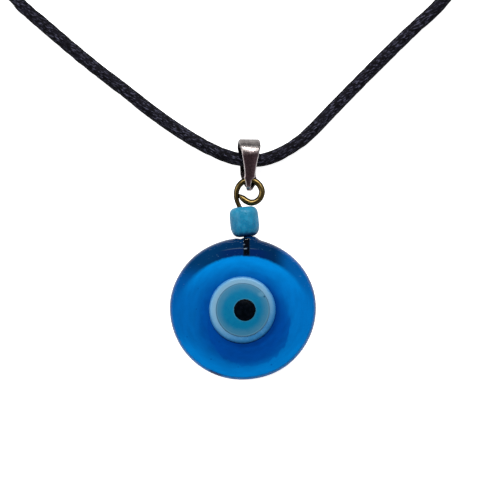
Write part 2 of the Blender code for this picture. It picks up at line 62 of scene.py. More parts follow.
# Cord, with the route of part.py
CORD_DIAMETER = 2.0
CORD_RADIUS = CORD_DIAMETER / 2
COIL_CENTRE = (-27.0, 62.0)
COIL_TURNS = ((12.0, 1.4), (10.0, 1.4), (10.0, 3.4), (12.0, 3.4))
POINTS_PER_TURN = 48
CORD_ROUTE = (
    (-39.0, 62.0, 1.4), (-38.7, 57.0, 1.2), (-37.3, 51.2, 1.05), (-34.1, 46.5, 1.0), (-30.0, 42.8, 1.0),
    (-24.6, 38.2, 1.0), (-21.6, 35.8, 1.0), (-17.8, 32.9, 1.0), (-14.0, 29.9, 1.0), (-9.9, 27.0, 1.15),
    (-6.3, 24.8, 1.5), (-2.7, 23.1, 1.95), (0.8, 22.3, 2.1), (4.3, 22.8, 1.95), (7.9, 24.7, 1.45),
    (10.5, 26.9, 1.15), (13.3, 29.8, 1.0), (17.2, 33.8, 1.0), (21.5, 38.1, 1.0), (25.8, 42.3, 1.0),
    (30.2, 46.5, 1.0), (34.2, 52.6, 1.0), (35.1, 60.4, 1.0), (32.1, 67.4, 1.0), (26.4, 72.2, 1.1),
    (19.2, 74.0, 1.4), (14.2, 74.0, 1.5), (10.8, 74.0, 1.5),
)
CORD_EXIT = (-15.5, 74.0, 1.5)
TAIL_ROUTE = ((-23.0, 73.9, 2.6), (-19.4, 74.0, 1.85), (-17.2, 74.0, 1.56), CORD_EXIT, (-12.3, 74.0, 1.5))
STRAND_PITCH = 7.0
STRANDS = 3

# Wire: place and radius along its middle line
WIRE_HEIGHT = 2.35
WIRE_LEG_TOP = 10.85
WIRE_LINE = (
    (0.6, 7.75, 0.36), (0.58, 9.3, 0.38), (0.52, 10.85, 0.4), (0.05, 12.97, 0.36), (-0.44, 15.1, 0.35),
    (-0.84, 16.05, 0.35), (-1.0, 16.9, 0.38), (-0.93, 17.8, 0.42), (-0.55, 18.6, 0.44), (0.12, 19.15, 0.45),
    (0.99, 19.36, 0.45), (1.88, 19.15, 0.46), (2.58, 18.5, 0.47), (2.88, 17.6, 0.47), (2.63, 16.72, 0.46),
    (2.0, 16.12, 0.46), (1.2, 15.95, 0.48), (0.52, 16.2, 0.5), (0.0, 16.6, 0.46), (-0.42, 16.95, 0.3),
    (-0.66, 17.2, 0.12),
)

# Bail
BAIL_CENTRE = (0.92, 23.25)
BAIL_TOP_RADIUS = 2.3
BAIL_FOOT_Y = 19.0
BAIL_FOOT_RADIUS = 1.25
BAIL_THICKNESS = 0.5
BAIL_YAW = math.radians(6.5)
BAIL_FRONT_WIDTHS = (
    (17.9, 0.5), (18.6, 0.8), (19.3, 0.98), (19.7, 1.66),
    (20.3, 1.62), (21.6, 1.95), (23.6, 2.75), (24.3, 3.15),
)
BAIL_BACK_WIDTHS = (
    (17.9, 0.5), (18.5, 1.5), (19.1, 2.2), (19.9, 2.3),
    (21.6, 2.35), (23.6, 2.75), (24.3, 3.15),
)

# Glass disc
RIM_DEPTH = 0.6
FACE_DROP = 0.6
LIP_HEIGHT = 0.42
LIP_ANGLE = math.radians(83.6)
DENT_DEPTH = 0.14
DENT_ANGLE = math.radians(91.5)
CRESCENT_CENTRE = (0.05, -2.6)
CRESCENT_REACH = 10.55

# Bead
BEAD_TILT = math.radians(6)
BEAD_SQUARENESS = 4.4
BEAD_HALF_LENGTH = 2.28
BEAD_HOLE = 0.5

# View
VIEW_CENTRE = (1.07, 8.8)
VIEW_WIDTH = 75.45
VIEW_HEIGHT = 350.0
VIEW_PLANE = 2.5
SENSOR_WIDTH = 36.0

# Stage, in metres
FLOOR_REACH = 4.0
FLOOR_DROP = 0.00005
LAMP_AIM = (0.0, 0.01, 0.0)

# CAD pieces that keep their shape and get a nickel finish
NICKEL_NODES = (
    "crimp_a", "crimp_b", "jump_ring_a", "jump_ring_b",
    "clasp_body", "clasp_lever", "clasp_rivet",
)


def linear(red, green, blue):
    """A colour given as screen values out of 255, as the shader's linear values."""
    parts = []
    for value in (red, green, blue):
        share = value / 255
        parts.append(share / 12.92 if share <= 0.04045 else ((share + 0.055) / 1.055) ** 2.4)
    return (*parts, 1.0)


class Nodes:
    """A material's node tree, with short calls for the nodes used here. Coordinates are in millimetres."""

    def __init__(self, name, metallic=0.0, specular=0.5):
        self.material = bpy.data.materials.new(name)
        self.material.use_nodes = True
        self.tree = self.material.node_tree
        self.shader = self.tree.nodes["Principled BSDF"]
        self.shader.inputs["Metallic"].default_value = metallic
        self.shader.inputs["Specular IOR Level"].default_value = specular
        place = self.tree.nodes.new("ShaderNodeTexCoord")
        self.normal = place.outputs["Normal"]
        self.place = self.vector("SCALE", place.outputs["Object"], scale=1 / MM)

    def link(self, socket, value):
        if isinstance(value, bpy.types.NodeSocket):
            self.tree.links.new(value, socket)
        else:
            socket.default_value = value

    def vector(self, operation, first, second=None, scale=None):
        node = self.tree.nodes.new("ShaderNodeVectorMath")
        node.operation = operation
        self.link(node.inputs[0], first)
        if second is not None:
            self.link(node.inputs[1], second)
        if scale is not None:
            node.inputs["Scale"].default_value = scale
        return node.outputs["Value" if operation == "DISTANCE" else "Vector"]

    def maths(self, operation, first, second=0.0):
        node = self.tree.nodes.new("ShaderNodeMath")
        node.operation = operation
        self.link(node.inputs[0], first)
        self.link(node.inputs[1], second)
        return node.outputs[0]

    def product(self, first, *others):
        for other in others:
            first = self.maths("MULTIPLY", first, other)
        return first

    def apart(self, value, centre):
        """How far a value is from a fixed one, either way."""
        return self.maths("ABSOLUTE", self.maths("SUBTRACT", value, centre))

    def combine(self, x, y, z=0.0):
        node = self.tree.nodes.new("ShaderNodeCombineXYZ")
        for socket, value in zip(node.inputs, (x, y, z)):
            self.link(socket, value)
        return node.outputs[0]

    def axis(self, name):
        node = self.tree.nodes.new("ShaderNodeSeparateXYZ")
        self.link(node.inputs[0], self.place)
        return node.outputs[name]

    def reach(self, x, y, squash=1.0):
        """Distance from a point, seen along Z. A squash below 1 makes the circles round it wide ellipses."""
        flat = self.vector("MULTIPLY", self.place, (squash, 1.0, 0.0))
        return self.vector("DISTANCE", flat, (x * squash, y, 0.0))

    def polar(self, across, round_it):
        """Coordinates that run outwards and round the middle, scaled, for marks that follow circles."""
        angle = self.maths("ARCTAN2", self.axis("Y"), self.axis("X"))
        return self.combine(self.product(self.reach(0.0, 0.0), across), self.product(angle, round_it))

    def facing_up(self, low, high):
        """1 where the surface faces up, 0 where it stands."""
        node = self.tree.nodes.new("ShaderNodeSeparateXYZ")
        self.link(node.inputs[0], self.normal)
        return self.step(node.outputs["Z"], low, high)

    def step(self, value, low, high):
        """0 below low, 1 above high, and smooth between. A low above high runs the other way."""
        node = self.tree.nodes.new("ShaderNodeMapRange")
        node.interpolation_type = "SMOOTHSTEP"
        self.link(node.inputs["Value"], value)
        node.inputs["From Min"].default_value = min(low, high)
        node.inputs["From Max"].default_value = max(low, high)
        node.inputs["To Min"].default_value = 0.0 if low < high else 1.0
        node.inputs["To Max"].default_value = 1.0 if low < high else 0.0
        return node.outputs["Result"]

    def noise(self, scale, detail=3.0, stretch=(1.0, 1.0, 1.0), place=None):
        node = self.tree.nodes.new("ShaderNodeTexNoise")
        self.link(node.inputs["Vector"], place or self.vector("MULTIPLY", self.place, stretch))
        node.inputs["Scale"].default_value = scale
        node.inputs["Detail"].default_value = detail
        return node.outputs["Fac"]

    def wander(self, amount, scale, detail=3.0, stretch=(1.0, 1.0, 1.0)):
        """Noise about zero, to make a border uneven."""
        return self.product(self.maths("SUBTRACT", self.noise(scale, detail, stretch), 0.5), amount)

    def cells(self, scale):
        node = self.tree.nodes.new("ShaderNodeTexVoronoi")
        self.link(node.inputs["Vector"], self.place)
        node.inputs["Scale"].default_value = scale
        return node.outputs["Distance"]

    def mix(self, share, first, second, blend="MIX"):
        node = self.tree.nodes.new("ShaderNodeMix")
        node.data_type = "RGBA"
        node.blend_type = blend
        self.link(node.inputs[0], share)
        self.link(node.inputs[6], first)
        self.link(node.inputs[7], second)
        return node.outputs[2]

    def tint(self, colour, where, strength, paint):
        """The colour, taken part of the way to another one where a mask says."""
        return self.mix(self.product(where, strength), colour, paint)

    def span(self, value, low, high):
        """A 0 to 1 value spread over a range."""
        node = self.tree.nodes.new("ShaderNodeMapRange")
        self.link(node.inputs["Value"], value)
        node.inputs["To Min"].default_value = low
        node.inputs["To Max"].default_value = high
        return node.outputs["Result"]

    def bump(self, height, depth, strength):
        """Relief whose full height is depth millimetres."""
        node = self.tree.nodes.new("ShaderNodeBump")
        node.inputs["Strength"].default_value = strength
        node.inputs["Distance"].default_value = depth * MM
        self.link(node.inputs["Height"], height)
        self.tree.links.new(node.outputs["Normal"], self.shader.inputs["Normal"])

    def feed(self, **values):
        for name, value in values.items():
            self.link(self.shader.inputs[name.replace("_", " ")], value)


def paint_glass_light_and_shade(n, edge):
    """Azure glass with painted light and shade: a painted shadow of the eye round and below it, painted light
    at the foot and a painted bright band of light under the crescent.
    """
    x = n.axis("X")
    y = n.axis("Y")
    # shade: painted shadow of the eye, round and below it
    shade = n.step(n.maths("ADD", n.reach(0.1, -1.5), n.wander(1.1, 0.45, 2.0)), 7.9, 5.6)
    # low: a deeper painted shadow just below the eye
    low = n.step(n.reach(0.4, -4.2), 3.6, 1.6)
    # ragged and pool: a ragged-edged painted shadow below the eye
    ragged = n.maths("ADD", n.reach(0.9, -2.5), n.wander(1.3, 1.1, 3.0, (1.0, 0.4, 1.0)))
    pool = n.product(n.step(ragged, 6.3, 6.05), n.step(y, 1.0, -3.0))
    # foot: painted light along the bottom of the disc
    foot = n.product(n.step(n.reach(0.0, 1.2), 9.0, 11.2), n.step(y, -2.0, -7.0))
    # band: a painted bright band of light just under the crescent
    band = n.product(n.step(edge, 7.9, 10.3), n.step(y, 1.0, 6.5))
    # beside: painted shadow close to the eye's lower right
    lower_right = n.step(n.maths("SUBTRACT", x, y), -3.0, 5.0)
    beside = n.product(n.step(n.reach(0.2, -0.45), 5.7, 5.0), lower_right)
    colour = n.mix(n.step(x, -9.0, 9.0), linear(2, 92, 159), linear(2, 106, 176))
    colour = n.tint(colour, shade, 0.9, linear(1, 67, 138))
    colour = n.tint(colour, low, 0.5, linear(1, 52, 112))
    colour = n.tint(colour, pool, 0.62, linear(1, 62, 138))
    colour = n.mix(foot, colour, linear(1, 118, 190))
    colour = n.tint(colour, band, 0.9, linear(1, 126, 198))
    return n.tint(colour, beside, 0.6, linear(1, 42, 104))


def paint_streaks(n, colour):
    """Faint arcs round the middle and faint level streaks, as poured glass has."""
    arcs = n.step(n.noise(1.6, 4.0, place=n.polar(1.0, 2.2)), 0.3, 0.7)
    colour = n.mix(0.14, colour, n.mix(arcs, linear(40, 90, 120), linear(90, 200, 240)), "SOFT_LIGHT")
    streaks = n.noise(1.4, 4.0, (1.0, 2.4, 1.0))
    return n.mix(0.12, colour, n.mix(streaks, linear(30, 80, 110), linear(90, 200, 240)), "SOFT_LIGHT")


def paint_crescent_shade(n, colour, edge):
    """The navy crescent of painted shade that the rim throws: paler at its ends, violet along the middle of
    its edge, with a thin painted highlight arc and painted glints near the rim.
    """
    x = n.axis("X")
    y = n.axis("Y")
    # navy: the colours of the painted shade in the crescent
    navy = n.mix(n.step(x, -7.0, 0.5), linear(2, 48, 90), linear(2, 38, 76))
    navy = n.mix(n.step(x, 4.5, 7.2), navy, linear(2, 76, 140))
    ends = n.mix(n.step(x, -5.0, 5.0), linear(2, 72, 138), linear(2, 84, 152))
    navy = n.mix(n.step(y, 7.0, 3.8), navy, ends)
    inner = n.reach(0.1, -5.6)
    violet = n.product(n.step(inner, 14.75, 14.5), n.step(n.apart(x, 0.3), 5.0, 2.0))
    navy = n.tint(navy, violet, 0.55, linear(4, 26, 84))
    # bright_arc: a thin painted highlight along the crescent
    bright_arc = n.product(n.step(n.apart(inner, 14.66), 0.1, 0.03), n.step(n.apart(x, -0.4), 3.2, 1.0))
    navy = n.tint(navy, bright_arc, 0.2, linear(120, 140, 160))
    # glints: painted glints near the rim
    glints = n.product(n.step(n.noise(4.5, 2.0, (0.5, 1.2, 1.0)), 0.66, 0.74), n.step(edge, 10.6, 10.9))
    navy = n.tint(navy, glints, 0.25, linear(110, 150, 175))
    softness = n.maths("ADD", 0.3, n.product(x, x, 0.007))
    border = n.maths("DIVIDE", n.maths("SUBTRACT", edge, CRESCENT_REACH), softness)
    # the crescent of painted shade laid over the glass
    return n.mix(n.product(n.step(border, -0.7, 0.5), n.step(y, -1.0, 4.0)), colour, navy)


def paint_flaws_and_rim_shade(n, colour):
    """A few bubbles, a dark line of painted shade round the edge and a dark chip at the lower left."""
    colour = n.tint(colour, n.step(n.cells(0.55), 0.085, 0.04), 0.5, linear(0, 45, 105))
    outer = n.reach(0.0, -0.1)
    # painted shade: a dark line round the rim
    colour = n.tint(colour, n.step(outer, 10.68, 10.95), 0.7, linear(1, 36, 84))
    chip = n.product(n.step(n.reach(-4.2, -9.9), 1.4, 0.6), n.step(outer, 10.15, 10.45))
    return n.tint(colour, chip, 0.8, linear(0, 24, 84))


def disc_material():
    """Azure glass, clear only over the wire's leg, with two pale painted glints where light catches its
    thread.
    """
    n = Nodes("azure_glass", specular=0.05)
    y = n.axis("Y")
    edge = n.maths("ADD", n.reach(*CRESCENT_CENTRE), n.wander(0.22, 2.5, 3.0))
    colour = paint_streaks(n, paint_glass_light_and_shade(n, edge))
    colour = paint_flaws_and_rim_shade(n, paint_crescent_shade(n, colour, edge))
    # thread_glints: two painted glints on the leg's thread
    thread_glints = n.maths(
        "MAXIMUM",
        n.step(n.reach(0.37, 8.99, squash=0.35), 0.14, 0.05),
        n.product(n.step(n.reach(0.18, 9.63, squash=0.6), 0.14, 0.05), 0.8),
    )
    beside_leg = n.step(n.apart(n.axis("X"), 0.55), 0.62, 0.36)
    window = n.product(beside_leg, n.step(y, 7.7, 8.15), n.step(y, 10.75, 10.5))
    window = n.product(window, n.maths("SUBTRACT", 1.0, thread_glints))
    colour = n.tint(colour, thread_glints, 0.75, linear(130, 142, 146))
    n.feed(
        Base_Color=n.mix(window, colour, linear(22, 64, 104)),
        Transmission_Weight=n.maths("ADD", n.product(window, 0.93), 0.05),
        Roughness=n.span(n.noise(3.0, 5.0), 0.04, 0.14),
    )
    n.bump(n.noise(0.9, 2.0), 0.05, 0.5)
    return n.material


def eye_white_material():
    """Milky blue glass with painted light: palest at the upper left and at its inner edge there, painted
    shade towards the lower right, deeper blue at its rim.
    """
    n = Nodes("milk_glass", specular=0.2)
    reach = n.reach(0.0, 0.0)
    upper_left = n.maths("SUBTRACT", n.product(n.axis("Y"), 1.3), n.product(n.axis("X"), 0.7))
    # painted light from the upper left and painted shade towards the lower right
    light = n.step(upper_left, -8.0, 5.0)
    colour = n.mix(light, linear(34, 102, 152), linear(98, 152, 188))
    colour = n.tint(colour, n.step(n.noise(1.6, 4.0), 0.45, 0.75), 0.35, linear(80, 138, 178))
    # painted light at the inner edge on the lit side
    colour = n.tint(colour, n.product(n.step(reach, 4.8, 4.3), light), 0.6, linear(122, 154, 172))
    rim = n.step(n.maths("ADD", reach, n.product(n.noise(1.2), 0.25)), 4.75, 5.1)
    colour = n.tint(colour, rim, 0.75, linear(20, 102, 164))
    n.feed(Base_Color=colour, Roughness=n.span(n.noise(6.0, 4.0), 0.18, 0.4))
    n.bump(n.noise(2.2, 3.0), 0.04, 0.6)
    return n.material


def iris_material():
    """Teal glass with a hazy pale border, a fine grey line at its edge and a halo round the pupil."""
    n = Nodes("iris_glass_painted", specular=0.12)
    reach = n.reach(0.0, 0.0)
    colour = n.mix(n.noise(1.1, 3.0), linear(1, 92, 136), linear(10, 108, 142))
    haze = n.step(n.maths("ADD", reach, n.wander(0.7, 0.8, 2.0)), 2.6, 3.7)
    colour = n.mix(haze, colour, linear(54, 110, 140))
    colour = n.mix(n.step(reach, 3.7, 3.95), colour, linear(78, 124, 150))
    line = n.product(n.step(reach, 3.86, 3.93), n.step(reach, 4.05, 3.98))
    colour = n.tint(colour, line, 0.6, linear(50, 82, 104))
    colour = n.tint(colour, n.step(n.reach(0.31, -0.01), 1.86, 1.68), 0.3, linear(70, 130, 150))
    colour = n.tint(colour, n.step(n.reach(2.79, 2.35, squash=0.7), 0.5, 0.15), 0.4, linear(96, 140, 164))
    colour = n.mix(n.step(n.reach(3.25, 2.0), 0.2, 0.08), colour, linear(30, 70, 95))
    n.feed(Base_Color=colour, Roughness=n.span(n.noise(5.0, 4.0), 0.2, 0.4))
    n.bump(n.noise(1.8, 3.0), 0.03, 0.6)
    return n.material


def pupil_material():
    """Black glass, very slightly blue."""
    n = Nodes("pupil_glass_black", specular=0.05)
    colour = n.mix(n.step(n.noise(2.0, 3.0), 0.4, 0.7), linear(1, 4, 8), linear(5, 9, 16))
    n.feed(Base_Color=colour, Roughness=n.span(n.noise(5.0), 0.12, 0.3))
    n.bump(n.noise(2.5, 2.0), 0.02, 0.5)
    return n.material


def bead_material():
    """Turquoise glass, cloudy and finely pitted, with painted shade darker towards the disc. Its hole runs
    along Z.
    """
    n = Nodes("pitted_turquoise", specular=0.22)
    along = n.axis("Z")
    # painted shade: darker along the bead towards the disc, darkest at its foot
    colour = n.mix(n.step(along, 1.9, -1.0), linear(20, 118, 152), linear(8, 104, 144))
    colour = n.mix(n.step(along, -1.3, -2.15), colour, linear(0, 34, 84))
    colour = n.tint(colour, n.step(n.noise(1.3, 4.0), 0.42, 0.68), 0.4, linear(44, 140, 176))
    between_pits = n.step(n.cells(4.5), 0.2, 0.42)
    colour = n.tint(colour, n.maths("SUBTRACT", 1.0, between_pits), 0.22, linear(8, 84, 130))
    n.feed(Base_Color=colour, Roughness=n.span(n.noise(4.0, 5.0), 0.22, 0.44))
    n.bump(n.maths("ADD", n.product(between_pits, 0.5), n.noise(2.2, 4.0)), 0.09, 0.8)
    return n.material


def brass_material():
    """Antique brass: near-black patina and painted shade on the wire's sides, dull yellow wear and painted
    light on its top and underside, and the leg inside the glass painted near black as shade.
    """
    n = Nodes("brass_patina_and_painted_light")
    # painted light: the wire's top and underside lighter, its sides darker as shade
    painted_light_top_and_bottom = n.step(n.apart(n.axis("Z"), WIRE_HEIGHT), 0.2, 0.47)
    # wear noise times the painted light on top and underside
    wear_and_top_light = n.product(painted_light_top_and_bottom, n.span(n.noise(1.6, 3.0), 0.45, 1.1))
    colour = n.mix(wear_and_top_light, linear(16, 12, 6), linear(128, 108, 64))
    colour = n.tint(colour, n.step(n.noise(4.0, 4.0), 0.55, 0.72), 0.5, linear(70, 42, 28))
    # painted shade: the leg inside the glass near black
    leg = n.step(n.axis("Y"), 10.6, 10.4)
    n.feed(
        Base_Color=n.mix(leg, colour, linear(5, 8, 12)),
        Metallic=n.maths("SUBTRACT", 1.0, leg),
        Roughness=n.span(n.noise(7.0, 4.0), 0.2, 0.42),
    )
    n.bump(n.noise(9.0, 3.0, (1.0, 0.3, 1.0)), 0.02, 0.5)
    return n.material


def bail_material():
    """Nickel plate with a mauve tint in front painted to colour its dark reflection, bevels in front painted
    lighter as a highlight, fine scratches and painted shade on the back.
    """
    n = Nodes("nickel_wear_and_painted_light", metallic=1.0)
    y = n.axis("Y")
    z = n.axis("Z")
    colour = n.mix(n.step(n.noise(1.5, 4.0), 0.4, 0.7), linear(130, 124, 121), linear(106, 100, 99))
    # painted reflection: a mauve tint on the front face for the dark reflection it shows
    colour = n.mix(n.step(y, 24.0, 22.6), colour, linear(138, 108, 114))
    scratches = n.step(n.noise(5.0, 4.0, (3.0, 0.35, 3.0)), 0.55, 0.72)
    colour = n.tint(colour, scratches, 0.4, linear(176, 170, 166))
    in_front = n.step(z, WIRE_HEIGHT + 0.5, WIRE_HEIGHT + 0.8)
    # painted highlight on the up-facing bevels in front
    bevel = n.product(n.facing_up(0.9, 0.72), in_front, n.step(y, 23.9, 23.4))
    colour = n.tint(colour, bevel, n.span(n.noise(1.8, 3.0), 0.4, 0.95), linear(222, 218, 216))
    # painted shade on the back strap, except where it faces down
    shaded_back = n.step(z, WIRE_HEIGHT + 0.4, WIRE_HEIGHT - 0.4)
    colour = n.tint(colour, shaded_back, n.facing_up(-0.8, -0.4), linear(34, 28, 30))
    n.feed(Base_Color=colour, Roughness=n.span(n.noise(3.5, 4.0), 0.16, 0.42))
    n.bump(n.noise(4.0, 4.0, (2.0, 0.5, 2.0)), 0.04, 0.7)
    return n.material


def clasp_material():
    """Satin nickel with faint drawn lines."""
    n = Nodes("satin_nickel", metallic=1.0)
    colour = n.mix(n.step(n.noise(1.2, 4.0), 0.35, 0.7), linear(205, 203, 198), linear(168, 165, 160))
    n.feed(Base_Color=colour, Roughness=n.span(n.noise(6.0, 4.0), 0.16, 0.4))
    n.bump(n.noise(5.0, 4.0, (0.5, 2.0, 2.0)), 0.03, 0.5)
    return n.material


def wax_material():
    """Black waxed cotton: fibres drawn out along the V of the cord, with painted sheen specks on them and
    painted shade on its sides, under a patchy film of wax.
    """
    n = Nodes("waxed_cotton", specular=0.05)
    film = n.noise(0.9, 4.0)
    y = n.axis("Y")
    from_middle = n.apart(n.axis("X"), 0.8)
    ahead = n.maths("ADD", n.product(from_middle, 0.88), n.product(y, 0.48))
    aside = n.maths("SUBTRACT", n.product(y, 0.88), n.product(from_middle, 0.48))
    fibre_and_sheen = n.noise(5.5, 5.0, place=n.combine(n.product(ahead, 0.25), aside, n.axis("Z")))
    colour = n.mix(n.step(film, 0.4, 0.7), linear(6, 5, 10), linear(18, 17, 25))
    # painted sheen: pale specks on the fibres
    colour = n.mix(n.step(fibre_and_sheen, 0.5, 0.72), colour, linear(76, 76, 94))
    # painted shade: the cord's sides near black, its top keeps the colour
    colour = n.mix(n.facing_up(0.2, 0.85), linear(1, 1, 2), colour)
    n.feed(Base_Color=colour, Roughness=n.span(film, 0.45, 0.75))
    n.bump(n.maths("ADD", fibre_and_sheen, n.noise(3.0, 3.0)), 0.14, 0.9)
    return n.material


def tie_material():
    """Matt black band, lightly ribbed."""
    n = Nodes("matt_band")
    colour = n.mix(n.noise(3.0, 4.0), linear(20, 20, 22), linear(44, 44, 48))
    n.feed(Base_Color=colour, Roughness=n.span(n.noise(5.0), 0.55, 0.85))
    n.bump(n.noise(8.0, 3.0, (1.0, 1.0, 4.0)), 0.05, 0.7)
    return n.material


def add_piece(name, points, faces, material):
    """A mesh object from points in millimetres."""
    mesh = bpy.data.meshes.new(name)
    mesh.from_pydata([tuple(Vector(point) * MM) for point in points], [], faces)
    mesh.polygons.foreach_set("use_smooth", [True] * len(mesh.polygons))
    mesh.validate()
    mesh.update()
    mesh.materials.append(material)
    piece = bpy.data.objects.new(name, mesh)
    bpy.context.scene.collection.objects.link(piece)
    return piece


def grid_faces(rows, columns, closed_rows=False):
    """Quads over rings of points, each ring closed."""
    faces = []
    for i in range(rows if closed_rows else rows - 1):
        for j in range(columns):
            k = (j + 1) % columns
            after = (i + 1) % rows
            faces.append((i * columns + j, i * columns + k, after * columns + k, after * columns + j))
    return faces


def lathed(name, outline, steps, material, shape=None):
    """A solid turned about Z from an outline that runs down its outer side, with a cap at each end."""
    points = []
    for reach, height in outline:
        for j in range(steps):
            angle = 2 * math.pi * j / steps
            point = Vector((reach * math.cos(angle), reach * math.sin(angle), height))
            points.append(shape(point) if shape else point)
    faces = [tuple(reversed(face)) for face in grid_faces(len(outline), steps)]
    faces.append(tuple(range(steps)))
    last = (len(outline) - 1) * steps
    faces.append(tuple(reversed(range(last, last + steps))))
    return add_piece(name, points, faces, material)


def curved(points, subdivisions=16):
    """A smooth line through the given points, of any number of numbers each."""
    points = [np.array(point, float) for point in points]
    padded = [2 * points[0] - points[1], *points, 2 * points[-1] - points[-2]]
    fine = [points[0]]
    for before, start, end, after in zip(padded, padded[1:], padded[2:], padded[3:]):
        for i in range(1, subdivisions + 1):
            t = i / subdivisions
            fine.append(
                0.5
                * (
                    2 * start
                    + (end - before) * t
                    + (2 * before - 5 * start + 4 * end - after) * t**2
                    + (3 * start - before - 3 * end + after) * t**3
                )
            )
    return np.array(fine)


def evenly(line, step):
    """The same line with points a fixed step apart."""
    lengths = np.linalg.norm(np.diff(line[:, :3], axis=0), axis=1)
    along = np.concatenate([[0.0], np.cumsum(lengths)])
    wanted = np.linspace(0.0, along[-1], max(2, round(along[-1] / step) + 1))
    return np.stack([np.interp(wanted, along, column) for column in line.T], axis=1)


def swept(name, line, sides, material, radius_at):
    """A bar along a line of points, with a radius for each ring and each angle round it."""
    line = line[:, :3]
    run = np.gradient(line, axis=0)
    run /= np.linalg.norm(run, axis=1, keepdims=True)
    up = np.array([0.0, 0.0, 1.0])
    points = []
    travelled = 0.0
    for i, (place, ahead) in enumerate(zip(line, run)):
        if i:
            travelled += float(np.linalg.norm(place - line[i - 1]))
        side = np.cross(ahead, up)
        side /= np.linalg.norm(side)
        lift = np.cross(side, ahead)
        for j in range(sides):
            angle = 2 * math.pi * j / sides
            radius = radius_at(i, travelled, angle)
            points.append(place + radius * (math.cos(angle) * side + math.sin(angle) * lift))
    faces = grid_faces(len(line), sides)
    faces.append(tuple(reversed(range(sides))))
    last = (len(line) - 1) * sides
    faces.append(tuple(range(last, last + sides)))
    return add_piece(name, points, faces, material)


def cord_line():
    """The whole cord: crimp B, right lead, the V through the bail, left lead, coil, tail and crimp A."""
    run = curved(reversed(CORD_ROUTE))
    coil = []
    count = len(COIL_TURNS) * POINTS_PER_TURN + POINTS_PER_TURN // 4
    for i in range(1, count + 1):
        turn = min(i / POINTS_PER_TURN, len(COIL_TURNS) - 0.001)
        at = int(turn)
        share = min(max((turn - at - 0.8) / 0.2, 0.0), 1.0)
        share = share * share * (3 - 2 * share)
        here = np.array(COIL_TURNS[at])
        after = np.array(COIL_TURNS[min(at + 1, len(COIL_TURNS) - 1)])
        reach, height = here + (after - here) * share
        angle = math.pi - 2 * math.pi * i / POINTS_PER_TURN
        x = COIL_CENTRE[0] + reach * math.cos(angle)
        y = COIL_CENTRE[1] + reach * math.sin(angle)
        coil.append((x, y, height))
    tail = curved([coil[-1], *TAIL_ROUTE])
    line = evenly(np.concatenate([run, coil, tail[1:]]), 0.32)
    line[:, 0] = np.minimum(line[:, 0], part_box("cord_run")[1][0] / MM - CORD_RADIUS)
    line[:, 2] = np.maximum(line[:, 2], CORD_RADIUS + 0.02)
    return line


def make_cord():
    """The cord as three twisted strands, slightly uneven, never thicker than its full diameter."""
    line = cord_line()

    def radius_at(i, travelled, angle):
        twist = angle - 2 * math.pi * travelled / STRAND_PITCH
        strand = abs(math.cos(STRANDS * twist / 2))
        fine = math.sin(9 * (angle + 2 * math.pi * travelled / 2.6))
        rough = noise.noise(Vector((travelled * 0.9, math.cos(angle) * 1.3, math.sin(angle) * 1.3)))
        swell = noise.noise(Vector((travelled * 0.3, 7.3, 0.0)))
        return CORD_RADIUS * min(0.95 + 0.055 * strand + 0.012 * fine + 0.06 * rough + 0.07 * swell, 1.0)

    cord = swept("waxed_cord", line, 24, wax_material(), radius_at)
    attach(cord, "cord")
    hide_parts("cord_run", "cord_tail", "cord_coil")
    return cord, line


def make_disc():
    """The disc, with a slightly uneven rim and a little lip of glass drawn up beside the wire."""
    low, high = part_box("glass_disc")
    radius = (high[0] - low[0]) / 2 / MM
    down = -low[1] / MM
    up = high[1] / MM
    thick = high[2] / MM
    white_low, white_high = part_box("eye_white")
    seat = (white_high[0] - white_low[0]) / 2 / MM - 0.25
    floor = white_low[2] / MM + 0.1
    face = radius - RIM_DEPTH
    centre_x = (white_low[0] + white_high[0]) / 2 / MM
    centre_y = (white_low[1] + white_high[1]) / 2 / MM
    outline = [(0.02, floor), (seat, floor)]
    for i in range(25):
        reach = seat + (face - seat) * i / 24
        outline.append((reach, thick - FACE_DROP * ((reach - seat) / (face - seat)) ** 1.6))
    half = (thick - FACE_DROP) / 2
    for i in range(1, 41):
        angle = math.pi / 2 - math.pi * i / 40
        outline.append((face + RIM_DEPTH * math.cos(angle), half + half * math.sin(angle)))
    outline.append((0.02, 0.0))

    def shape(point):
        reach = math.hypot(point.x, point.y)
        angle = math.atan2(point.y, point.x)
        share = min(max((reach - seat) / (face - seat), 0.0), 1.0)
        middle = 1 - min(max((reach - seat - 0.1) / (face - seat), 0.0), 1.0)
        grain = noise.noise(Vector((math.cos(angle) * 2, math.sin(angle) * 2, 0.4)))
        uneven = 1 + 0.0035 * share * grain
        lip = LIP_HEIGHT * math.exp(-(((angle - LIP_ANGLE) / 0.098) ** 4))
        dent = DENT_DEPTH * math.exp(-(((angle - DENT_ANGLE) / 0.035) ** 2))
        uneven += (lip - dent) / radius * share
        flatten = (up if point.y > 0 else down) / radius
        x = point.x * uneven + centre_x * middle
        y = point.y * uneven * (1 + (flatten - 1) * share) + centre_y * middle
        swell = 0.03 * noise.noise(Vector((x * 0.4, y * 0.4, 2.1))) if point.z > half else 0.0
        return Vector((x, y, point.z + swell * share))

    disc = lathed("glass_body", outline, 192, disc_material(), shape)
    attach(disc, "pendant")
    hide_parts("glass_disc")


